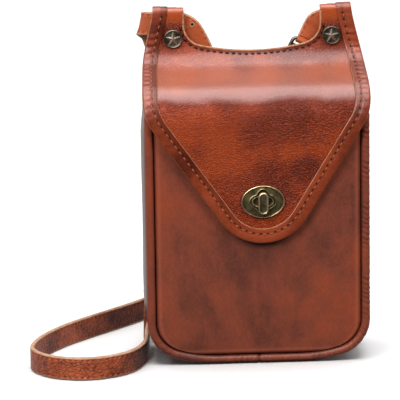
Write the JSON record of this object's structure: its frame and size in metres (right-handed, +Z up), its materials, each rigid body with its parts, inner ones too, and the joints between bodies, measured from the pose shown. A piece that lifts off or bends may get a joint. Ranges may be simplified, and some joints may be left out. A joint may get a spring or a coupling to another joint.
{
  "type": "crossbody phone bag",
  "caption": "Small upright leather crossbody phone bag with a piped pocket, fold-over flap, oval turn lock and a long flat strap through two riveted ear tabs.",
  "frame": {"origin": "middle of the flat part of the base, on the surface that the bag stands on", "axes": "+X to the right as seen from the front, +Y to the back, +Z up"},
  "size_m": [0.1837, 0.2275, 0.1902],
  "materials": {
    "panel_leather": "polished cognac leather with dark mottling",
    "flap_leather": "glossy cognac leather",
    "border_leather": "glossy lighter cognac leather",
    "strap_leather": "smooth cognac leather with pale cut edges",
    "lock_brass": "antique brass",
    "rivet_metal": "antique brass, greyed"
  },
  "bodies": {
    "bag": {"front_panel": "panel_leather", "front_piping": "panel_leather", "gusset": "panel_leather", "back_panel": "panel_leather", "flap": "flap_leather", "flap_border": "border_leather", "left_rivet": "rivet_metal", "right_rivet": "rivet_metal", "lock_plate": "lock_brass", "lock_base": "lock_brass", "strap": "strap_leather", "buckle": "rivet_metal"},
    "turn_knob": {"lock_knob": "lock_brass"}
  },
  "joints": [
    {"name": "lock_turn", "type": "hinge", "parent": "bag", "child": "turn_knob", "pos_m": [0.0024, -0.025, 0.0913], "axis": [0, -1, 0], "range_deg": [0, 90]}
  ]
}
